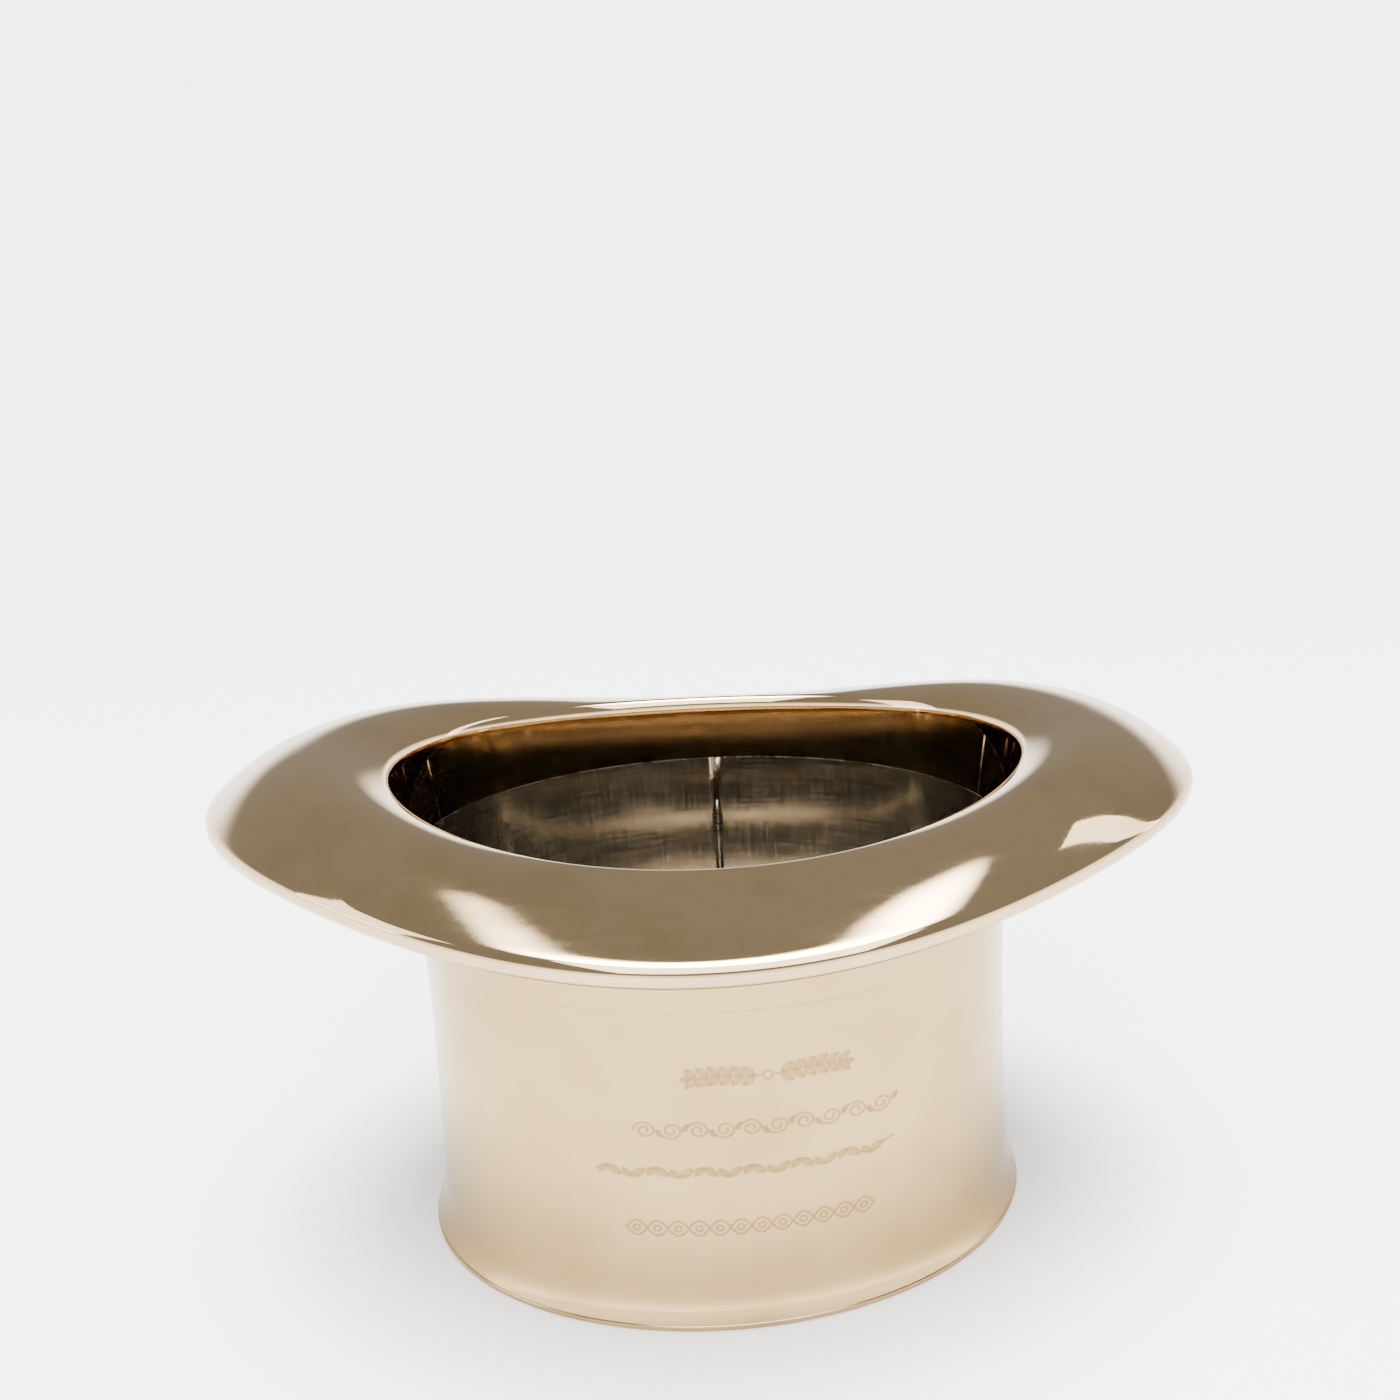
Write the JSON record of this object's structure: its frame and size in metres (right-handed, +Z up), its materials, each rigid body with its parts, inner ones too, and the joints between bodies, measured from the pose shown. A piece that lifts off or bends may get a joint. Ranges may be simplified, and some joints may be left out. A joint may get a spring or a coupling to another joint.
{
  "type": "champagne bucket",
  "caption": "Silver-plated champagne bucket shaped as an upturned top hat, with a waisted oval body, a raised hat band, a saddle-shaped brim and a curled edge.",
  "frame": {"origin": "centre of the foot, on the surface it stands on", "axes": "+X along the long axis of the oval, +Y along its short axis, +Z up out of the mouth"},
  "size_m": [0.3412, 0.2444, 0.1884],
  "materials": {
    "wall_silver": "silver plate, polished and lightly hazed by fine scratches",
    "brim_silver": "silver plate, mirror polished",
    "solder": "silver solder, dressed smooth and dulled"
  },
  "bodies": {
    "root": {"crown_wall": "wall_silver", "seam_solder": "solder", "base_plate": "wall_silver", "foot_ring": "wall_silver", "base_solder": "solder", "hat_band": "wall_silver", "brim_solder": "solder", "brim": "brim_silver"}
  },
  "joints": []
}
